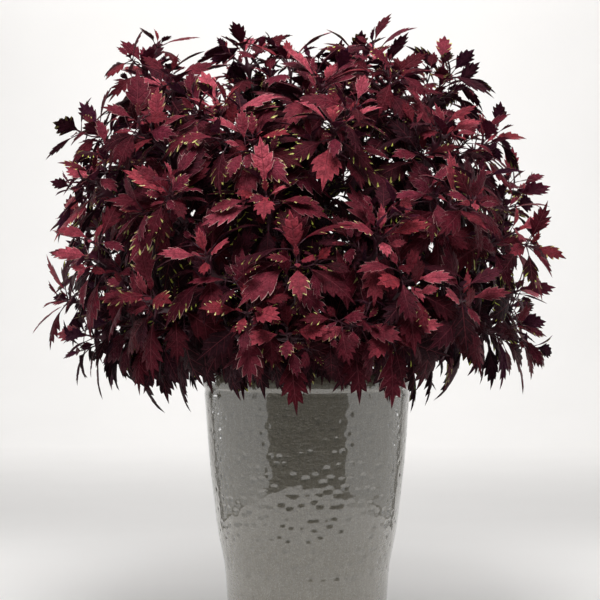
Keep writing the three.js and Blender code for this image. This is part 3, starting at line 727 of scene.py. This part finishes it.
class LeafyStem:
    """One leafy stem of the solids, read ring by ring from its root, and what is built in its place."""

    def __init__(self, name, node):
        self.name = name
        self.leaves, self.shoots, self.twigs = [], [], []
        self.sprouts = []  # [leaf, foot of its stalk, direction of its stalk]
        self.axils = []  # [shoot, place along it, side, leaf]
        self.bm = bmesh.new()
        self.bm.from_mesh(node.data)
        self.bm.transform(node.matrix_world)
        bmesh.ops.remove_doubles(self.bm, verts=self.bm.verts, dist=SAME)
        self.bm.edges.layers.float.new("crease_edge")
        self.third = {}  # [start, end] of a triangle's side: its third corner
        for face in self.bm.faces:
            for loop in face.loops:
                self.third[loop.vert, loop.link_loop_next.vert] = loop.link_loop_prev.vert
        self.diagonals, self.lengthwise = [], []
        self.blade_parts = set()
        self.leaf_at = self.read_blades()
        self.trace(self.read_root())

    def read_root(self):
        """The root's four corners, in the order in which the stem's sides stand on them."""
        lowest = sorted(self.bm.verts, key=lambda vert: vert.co.z)[:4]
        root = lowest[:1]
        while len(root) < 4:
            root.append(next(vert for vert in lowest if self.third.get((root[-1], vert), vert) not in lowest))
        return root

    def ring_round(self, hub, partner):
        """A hub's neighbours: the outline that it shares with its partner, then two corners of the stalk."""
        following = {loop.link_loop_next.vert: loop.link_loop_prev.vert for loop in hub.link_loops}
        line = [next(iter(following))]
        while len(line) < len(following):
            line.append(following[line[-1]])
        shared = [(vert, partner) in self.third for vert in line]
        first = next(i for i in range(len(line)) if shared[i] and not shared[i - 1])
        return line[first:] + line[:first]

    def read_blades(self):
        """Every blade's leaf, by the four corners where its stalk ends."""
        found = {}
        hubs = {vert for vert in self.bm.verts if len(vert.link_edges) in HUB_EDGES}
        while hubs:
            hub = hubs.pop()
            near = [edge.other_vert(hub) for edge in hub.link_edges]
            partner = next(
                other for other in hubs if sum((other, vert) in self.third for vert in near) == len(near) - 2
            )
            hubs.remove(partner)
            tip = self.ring_round(hub, partner)[(len(near) - 2) // 2]
            corners = self.ring_round(hub, partner)[-2:] + self.ring_round(partner, hub)[-2:]
            start = centre([vert.co for vert in corners])
            bulge = (hub.co + partner.co - start - tip.co) / 2
            top, low = (hub, partner) if (hub.co - partner.co).dot(bulge) > 0 else (partner, hub)
            leaf = self.read_leaf(top, low, start, tip.co)
            self.blade_parts |= {hub, partner, *self.ring_round(top, low)[:-2]}
            found.update(dict.fromkeys(corners, leaf))
        return found

    def read_leaf(self, top, low, start, tip):
        """The arched, folded leaf that a blade of the solids stands for, from its hubs and its ends."""
        *outline, top_right, top_left = self.ring_round(top, low)
        low_left = self.ring_round(low, top)[-2]
        side = (top_right.co - top_left.co).normalized()
        up = (top_left.co - low_left.co).normalized()
        forward = side.cross(up)
        reach = tip - start
        arch = 2 * math.atan2(-reach.dot(up), reach.dot(forward))
        length = reach.length * (arch / 2) / math.sin(arch / 2)
        lobes = len(outline) // 2
        leaf = Leaf(start, forward, up, length, arch, 0, lobes == 3, 0)
        number, along = WIDEST[lobes]
        offset = outline[-1 - number].co - leaf.at(along, 0, 0)
        face = up * math.cos(arch * along) + forward * math.sin(arch * along)
        leaf.fold = math.atan2(offset.dot(face), offset.dot(side))
        return leaf

    def ring_after(self, ring):
        """The next ring of four corners up a square tube, or None at its end.

        Leaves and twigs sit on sides that face each other, so the other two are plain and give the ring.
        """
        upper = []
        for start, end in zip(ring, ring[1:] + ring[:1]):
            far = self.third[start, end]
            upper.append((self.third.get((start, far)), far))
        for above in ([*upper[0], *upper[2]], [upper[3][1], *upper[1], upper[3][0]]):
            edges = zip(above, above[1:] + above[:1])
            if len(set(above)) == 4 and all(edge in self.third for edge in edges):
                return above
        return None

    def trace(self, root):
        """Reads a shoot from its root ring of corners, with all that grows on it."""
        rings, growths = [root], []
        while above := self.ring_after(rings[-1]):
            ring = rings[-1]
            for side in range(4):
                after = (side + 1) % 4
                self.lengthwise.append((ring[side], above[side]))
                if self.third[ring[side], ring[after]] == above[after]:
                    self.diagonals.append((ring[side], above[after]))
                else:
                    foot = [ring[side], ring[after], above[after], above[side]]
                    growths.append((len(rings) - 1, side, foot))
            rings.append(above)
        shoot = Shoot([[vert.co.copy() for vert in ring] for ring in rings])
        self.shoots.append(shoot)
        levels = sorted({number for number, _, foot in growths if self.ring_after(foot)[0] in self.leaf_at})
        for number, side, foot in growths:
            place = shoot.ring_stops[number]
            shoot.nodes.append((place, side))
            end = self.ring_after(foot)
            leaf = self.leaf_at.get(end[0])
            if not leaf:
                self.trace(foot)
                continue
            self.diagonals += [(foot[corner], end[(corner + 1) % 4]) for corner in range(4)]
            leaf.age = LEVEL_AGES[min(2, len(levels) - 1 - levels.index(number))]
            self.leaves.append(leaf)
            self.axils.append((shoot, place, side, leaf))

    def rounded(self):
        """The stems and stalks without the blades, with their skin rounded."""
        bm = self.bm
        bmesh.ops.delete(bm, geom=list(self.blade_parts), context="VERTS")
        crease = bm.edges.layers.float["crease_edge"]
        for pair in self.lengthwise:
            bm.edges.get(pair)[crease] = CREASE
        bmesh.ops.dissolve_edges(bm, edges=[bm.edges.get(pair) for pair in self.diagonals])
        bmesh.ops.holes_fill(bm, edges=bm.edges, sides=4)
        shape = add_object("stem_skin", bm, [])
        levels = shape.modifiers.new("rounding", "SUBSURF")
        levels.levels = levels.render_levels = 1
        skin = bpy.data.meshes.new_from_object(shape.evaluated_get(bpy.context.evaluated_depsgraph_get()))
        bpy.data.meshes.remove(shape.data)
        return skin


# ------------------------------ filling out the shoots
# Pairs of leaves in millimetres and degrees. back counts from the shoot's tip, and rise from square to it.
BUDS = [
    {"back": 0.5, "length": 24, "rise": 66, "droop": 0, "arch": 22, "fold": 24, "age": 0.0},
    {"back": 3.5, "length": 44, "rise": 54, "droop": 0.05, "arch": 28, "fold": 16, "age": 0.1},
]
# The pairs down the rest of a shoot: the first, the step to the next and how that varies, how each is shorter
# than the last, and the lowest share of the shoot, which stays bare
LOWER = {"back": 88, "length": 98, "rise": 8, "droop": 0.8, "arch": 50, "fold": -8, "age": 0.75}
LOWER_STEP, LOWER_STRAY, LOWER_SHRINK, LOWEST_SHARE = 30, (0.85, 1.15), 0.97, 0.22
TWIG = {
    "above": 9.0, "sunk": 2, "length": (12, 50), "half_width": (1.5, 1.1),
    "out": 0.8, "along": 0.6, "swing": 0.4,  # the mix of ways in which it leaves its shoot
    "bend_along": 0.6, "bend_up": 0.4,  # what is added to that up to its tip
    "lowest_pair": 1.6,  # how many times that pair's distance from the tip it has to be long
    "share": 0.6, "always_over": 800,  # of the leaves that get one, and the height over which all may
}
TWIG_PAIRS = [
    {"back": 0.4, "length": 30, "rise": 60, "droop": 0, "arch": 24, "fold": 20, "age": 0.35},
    {"back": 2.5, "length": 56, "rise": 40, "droop": 0.2, "arch": 34, "fold": 10, "age": 0.5},
    {"back": 14, "length": 76, "rise": 24, "droop": 0.5, "arch": 42, "fold": 0, "age": 0.65},
]
SPREAD = {"length": 0.12, "rise": 12, "swing": 16, "droop": 0.3, "arch": 14, "fold": 12}
TRIES, SHORTER, LOOSER = 7, 0.04, 0.3  # each try for a leaf is for a shorter one that may stray more
LEAST_DROOP, LEANS_ENOUGH = 0.3, 0.15  # the droop's share on an upright shoot, and the lean that gives it all
LEAST_ARCH = 0.1
BLADE_LIFT = 0.3  # how much a blade faces up, against facing along its shoot
STALK = {
    "share": 0.24, "bend": 0.6, "straight": 0.5,
    "foot": 1.5, "end": 0.8,  # its radii on a blade that is `full` long, and on a tiny one `least` of them
    "full": 80, "least": 0.4,
    "sunk": 1, "into_blade": 0.06,  # how far it goes into the shoot, and on under the blade as a share
    "clear_from": 4,  # how far out of the shoot it starts to need space
}
ROOM = 9.0  # between pairs
POT_CLEARANCE, BOX_MARGIN = 5, 3
YOUNG_BELOW = 58  # shorter blades have the young ones' outline
FOLIAGE_SEED = 8


def aimed(shoot, place, side, pair, draw, attempt):
    """A leaf for a side of a shoot, with the foot and the direction of its stalk."""

    def stray(name, looseness=1.0):
        return draw.uniform(-1, 1) * SPREAD[name] * looseness

    foot, along, out = shoot.face(place, side)
    loose = 1 + attempt * LOOSER
    length = pair["length"] * MM * (1 + stray("length")) * (1 - attempt * SHORTER)
    rise, swing = math.radians(pair["rise"] + stray("rise", loose)), math.radians(stray("swing", loose))
    away = out * math.cos(swing) + along.cross(out) * math.sin(swing)
    stalk = (away * math.cos(rise) + along * math.sin(rise)).normalized()
    leans = LEAST_DROOP + (1 - LEAST_DROOP) * min(1, 1 + LEANS_ENOUGH - along.z)
    droop = pair["droop"] * (1 + stray("droop")) * (1 - max(0, out.z)) ** 2 * leans
    forward = (stalk - UP * droop).normalized()
    facing = along + UP * BLADE_LIFT
    up = (facing - forward * facing.dot(forward)).normalized()
    start = foot + (stalk + forward * STALK["bend"]).normalized() * length * STALK["share"]
    arch, fold = math.radians(pair["arch"] + stray("arch")), math.radians(pair["fold"] + stray("fold"))
    is_young = pair["length"] < YOUNG_BELOW
    return Leaf(start, forward, up, length, max(arch, LEAST_ARCH), fold, is_young, pair["age"]), foot, stalk


class Crowd:
    """What leaves stay clear of, kept by the cubes of space that it reaches into."""

    CELL = 60 * MM

    def __init__(self, box):
        self.cells = {}
        self.low, self.high = box

    def reach(self, points):
        """The cubes that the box round these points touches."""
        spans = []
        for axis in zip(*points):
            spans.append(range(math.floor(min(axis) / self.CELL), math.floor(max(axis) / self.CELL) + 1))
        return itertools.product(*spans)

    def add(self, points, faces):
        tree = BVHTree.FromPolygons(points, faces)
        for cell in self.reach(points):
            self.cells.setdefault(cell, []).append(tree)

    def has_space(self, points, faces):
        """Whether a sheet stays inside the plant's box, clear of the pot and of everything that is kept."""
        pot_radius = (LIP["radius"] + LIP["out"] + POT_CLEARANCE) * MM
        pot_top = (LIP["height"] + LIP["up"] + POT_CLEARANCE) * MM
        for point in points:
            if point.z < pot_top and point.xy.length < pot_radius:
                return False
            if any(not low < p < high for low, p, high in zip(self.low, point, self.high)):
                return False
        tree = BVHTree.FromPolygons(points, faces)
        near = {id(other): other for cell in self.reach(points) for other in self.cells.get(cell, [])}
        return not any(tree.overlap(other) for other in near.values())


def plant_box():
    """The box that leaves stay in, a little inside the solids' own."""
    margin = Vector((1, 1, 1)) * BOX_MARGIN * MM
    return Vector(cad_box[0]) + margin, Vector(cad_box[1]) - margin


def sheet_of(leaf, foot=None, stalk=None):
    """A leaf as a coarse sheet: a fan of its blade, and a sliver of its stalk."""
    points = leaf.sheet()
    count = len(points)
    faces = [(0, i, i % (count - 1) + 1) for i in range(1, count)]
    if foot:
        side = leaf.up.cross(leaf.forward) * MM
        points += [foot + stalk * STALK["clear_from"] * MM, leaf.start + side, leaf.start - side]
        faces.append((count, count + 1, count + 2))
    return points, faces


def grow_leaf(stem, shoot, place, side, pair, crowd, draw):
    """Tries to grow a leaf out of a side of a shoot, and says whether it found space."""
    for attempt in range(TRIES):
        leaf, foot, stalk = aimed(shoot, place, side, pair, draw, attempt)
        points, faces = sheet_of(leaf, foot, stalk)
        if crowd.has_space(points, faces):
            crowd.add(points, faces)
            stem.sprouts.append((leaf, foot, stalk))
            shoot.nodes.append((place, side))
            if pair["length"] >= YOUNG_BELOW:
                stem.axils.append((shoot, place, side, leaf))
            return True
    return False


def grow_pair(stem, shoot, pair, odd, crowd, draw):
    """Tries to grow a pair of leaves out of two sides that face each other, and counts those that it grew."""
    place = shoot.length - pair["back"] * MM
    return sum(grow_leaf(stem, shoot, place, side, pair, crowd, draw) for side in ((1, 3) if odd else (0, 2)))


def bent_twig(shoot, place, side, draw):
    """A short twig that leaves the angle between a leaf and its stem."""
    foot, along, out = shoot.face(place + TWIG["above"] * MM, side)
    length = draw.uniform(*TWIG["length"]) * MM
    level = along.cross(out)
    swing = draw.uniform(-TWIG["swing"], TWIG["swing"])
    leave = (out * TWIG["out"] + along * TWIG["along"] + level * swing).normalized()
    end = (leave + along * TWIG["bend_along"] + UP * TWIG["bend_up"]).normalized()
    rings = []
    for share in (0, 1 / 3, 2 / 3, 1):
        middle = foot + leave * length * share + (end - leave) * length * share**2 / 2
        way = leave.lerp(end, share).normalized()
        across = (level - way * level.dot(way)).normalized()
        upper = across.cross(way)
        half = (TWIG["half_width"][0] * (1 - share) + TWIG["half_width"][1] * share) * MM
        rings.append([middle + (upper * up + across * right) * half for up, right in SQUARE])
    return Shoot(rings, TWIG_STEPS), length


def grow_twig(stem, shoot, place, side, crowd, draw):
    """Tries to grow a twig with a few pairs of leaves. It counts only if a leaf grew on it."""
    twig, length = bent_twig(shoot, place, side, draw)
    stretches = list(twig.sheets(TWIG_STEPS))[1:]
    if not all(crowd.has_space(*stretch) for stretch in stretches):
        return
    *upper_pairs, lowest = TWIG_PAIRS
    grown = sum(grow_pair(stem, twig, pair, i % 2, crowd, draw) for i, pair in enumerate(upper_pairs))
    if length > lowest["back"] * MM * TWIG["lowest_pair"]:
        grown += grow_pair(stem, twig, lowest, False, crowd, draw)
    if grown:
        for stretch in stretches:
            crowd.add(*stretch)
        stem.twigs.append(twig)


def fill_out(stems, crowd, draw):
    """Grows leaves and twigs wherever the solids' stems have space for them."""
    for stem in stems:
        for leaf in stem.leaves:
            crowd.add(*sheet_of(leaf))
        for shoot in stem.shoots:
            for stretch in shoot.sheets(SHOOT_STEPS // 2):
                crowd.add(*stretch)
    shoots = [(stem, shoot) for stem in stems for shoot in stem.shoots]
    for i, pair in enumerate(BUDS):
        for stem, shoot in shoots:
            grow_pair(stem, shoot, pair, (i + shoot.top_side()) % 2, crowd, draw)
    for stem in stems:
        for shoot, place, side, _ in stem.axils[:]:
            if draw.random() < TWIG["share"]:
                grow_twig(stem, shoot, place, side, crowd, draw)
    for stem, shoot in shoots:
        pair, turn = dict(LOWER), 1 + shoot.top_side()
        while shoot.length - pair["back"] * MM > shoot.length * LOWEST_SHARE:
            if shoot.has_room(shoot.length - pair["back"] * MM, ROOM * MM):
                grow_pair(stem, shoot, pair, turn % 2, crowd, draw)
            pair["back"] += LOWER_STEP * draw.uniform(*LOWER_STRAY)
            pair["length"] *= LOWER_SHRINK
            turn += 1
    for stem in stems:
        for shoot, place, side, leaf in stem.axils[:]:
            if draw.random() < TWIG["share"] or leaf.start.z > TWIG["always_over"] * MM:
                grow_twig(stem, shoot, place, side, crowd, draw)


# ------------------------------ building the foliage
TUBE_SIDES, TUBE_STRETCHES = 5, 2
# The plant's dome, and the heights below which leaves start to count as low and wholly do, in metres
DOME_CENTRE, DOME_RADIUS, DOME_RISE, DOME_DROP = Vector((-0.018, 0, 0.6)), 0.42, 0.42, 0.2
LOW_FROM, LOWEST = 0.75, 0.5
# How leaves differ: the range of their curl, waves and width, and the shape of the draw of their paleness
CURL, WAVE, WIDTH, PALENESS = (0.02, 0.22), (0.02, 0.07), (0.84, 1), (1.1, 1.7)
# What their place low or deep in the plant changes of what they and their stem have of their own
LOBED = {"own": 0.25, "low": 0.5}
LIME = {"own": 0.6, "stem": 0.4, "low": 0.12, "deep": 0.2}
# Painted shade: leaves low and deep in the plant are aged towards the dark old colour. Part of this is also
# the darker colour of the older leaves there.
AGE_AND_SHADE = {"own": (-0.2, 0.26), "low": 0.25, "deep": 1.4}
# Painted shade: how much the lowest leaves' tone is darkened.
LOW_PAINTED_SHADE = 0.25


def tube_template():
    """A closed tube of radius 1 from 0 to 1 up Z."""
    bm = bmesh.new()
    middle = Matrix.Translation((0, 0, 0.5))
    bmesh.ops.create_cone(
        bm, cap_ends=True, segments=TUBE_SIDES, radius1=1, radius2=1, depth=1, matrix=middle,
    )
    risers = [edge for edge in bm.edges if abs(edge.verts[0].co.z - edge.verts[1].co.z) > 0.5]
    bmesh.ops.subdivide_edges(bm, edges=risers, cuts=TUBE_STRETCHES - 1)
    paint(bm, BARK)
    return as_mesh("round_tube", bm)


def copy_in(bm, template):
    """Adds a copy of a template to a bmesh and returns its vertices."""
    count = len(bm.verts)
    bm.from_mesh(template)
    bm.verts.ensure_lookup_table()
    return bm.verts[count:]


def add_tube(bm, tube, line, side, radii):
    """Adds a round tube along a curve between the outer two of three points, bent towards the middle one."""
    start, pull, end = line
    for vert in copy_in(bm, tube):
        x, y, t = vert.co
        place = start * (1 - t) ** 2 + pull * (2 * t * (1 - t)) + end * t**2
        way = ((pull - start) * (1 - t) + (end - pull) * t).normalized()
        across = (side - way * side.dot(way)).normalized()
        radius = radii[0] * (1 - t) + radii[1] * t
        vert.co = place + (across * x + way.cross(across) * y) * radius


def add_blade(bm, templates, layers, leaf):
    kind = "young" if leaf.is_young else "lobed" if leaf.is_lobed else "mature"
    for vert in copy_in(bm, templates[kind]):
        vert.co = leaf.at(*vert.co[:2], vert.co.z)
        vert[layers["tone"]], vert[layers["age"]], vert[layers["lime"]] = leaf.tone, leaf.age, leaf.lime


def depth_of(point):
    """How deep a point lies in the plant: 0 on its dome and 1 in its middle."""
    across, up = (point - DOME_CENTRE).xy.length / DOME_RADIUS, (point - DOME_CENTRE).z
    return max(0, 1 - math.hypot(across, up / (DOME_RISE if up > 0 else DOME_DROP)))


def dress(leaf, limy, draw):
    """Gives a leaf its own curl, waves and colouring, with painted shade that darkens it low and deep in the
    plant.
    """
    leaf.curl = draw.uniform(*CURL)
    leaf.wave = draw.uniform(*WAVE)
    leaf.phase = draw.uniform(0, math.tau)
    leaf.tone = draw.betavariate(*PALENESS)
    leaf.width = draw.uniform(*WIDTH)
    low = min(1, max(0, 1 - (leaf.start.z - LOWEST) / (LOW_FROM - LOWEST)))
    deep = depth_of(leaf.start + leaf.forward * leaf.length / 2)
    leaf.is_lobed = draw.random() < LOBED["own"] + low * LOBED["low"]
    leaf.lime = draw.random() * LIME["own"] + limy * LIME["stem"] - low * LIME["low"] + deep * LIME["deep"]
    # Painted shade: low and deep leaves are aged and darkened beyond their own age.
    leaf.age += draw.uniform(*AGE_AND_SHADE["own"]) + low**2 * AGE_AND_SHADE["low"] + deep * AGE_AND_SHADE["deep"]
    leaf.age = min(1, max(0, leaf.age))
    # Painted shade: low leaves are darkened.
    leaf.tone *= 1 - low * LOW_PAINTED_SHADE


def build_stem(stem, templates, tube, finishes, draw):
    """Makes a stem's piece: its rounded skin, its blades, and the stalks and twigs that the solid lacks."""
    bm = bmesh.new()
    layers = {name: bm.verts.layers.float.new(name) for name in BLADE_LAYERS}
    take_in(bm, stem.rounded())
    paint(bm, BARK)
    limy = draw.random()
    for leaf in stem.leaves:
        dress(leaf, limy, draw)
        add_blade(bm, templates, layers, leaf)
    for leaf, foot, stalk in stem.sprouts:
        dress(leaf, limy, draw)
        add_blade(bm, templates, layers, leaf)
        side = leaf.up.cross(leaf.forward)
        full = min(1, leaf.length / (STALK["full"] * MM))
        thick = (STALK["least"] + (1 - STALK["least"]) * full) * MM
        pull = foot + stalk * (leaf.start - foot).length * STALK["straight"]
        line = (foot - stalk * STALK["sunk"] * MM, pull, leaf.at(STALK["into_blade"], 0, 0))
        add_tube(bm, tube, line, side, (STALK["foot"] * thick, STALK["end"] * thick))
    for twig in stem.twigs:
        start, middle, end = [centre(twig.rings[i]) for i in (0, len(twig.rings) // 2, -1)]
        pull = middle * 2 - (start + end) / 2
        _, along, out = twig.face(0, 0)
        radii = [half * MM for half in TWIG["half_width"]]
        add_tube(bm, tube, (start - along * MM * TWIG["sunk"], pull, end), out, radii)
    piece = add_object(stem.name.replace("leafy", "coleus"), bm, finishes)
    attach(piece, "root")
    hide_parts(stem.name)


def make_foliage():
    draw = random.Random(FOLIAGE_SEED)
    names = sorted(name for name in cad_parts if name.startswith("leafy_stem"))
    stems = [LeafyStem(name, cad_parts[name]) for name in names]
    fill_out(stems, Crowd(plant_box()), draw)
    outlines = {"young": YOUNG_OUTLINE, "mature": MATURE_OUTLINE, "lobed": LOBED_OUTLINE}
    templates = {name: blade_template(name, outline) for name, outline in outlines.items()}
    tube = tube_template()
    finishes = [
        blade_finish("coleus_blade", UPPER_COLOURS, False),
        blade_finish("coleus_blade_underside", UNDER_COLOURS, True),
        stem_finish(),
    ]
    for stem in stems:
        build_stem(stem, templates, tube, finishes, draw)


add_camera()
add_sweep()
add_lights()
make_pot()
make_potting_mix()
make_foliage()
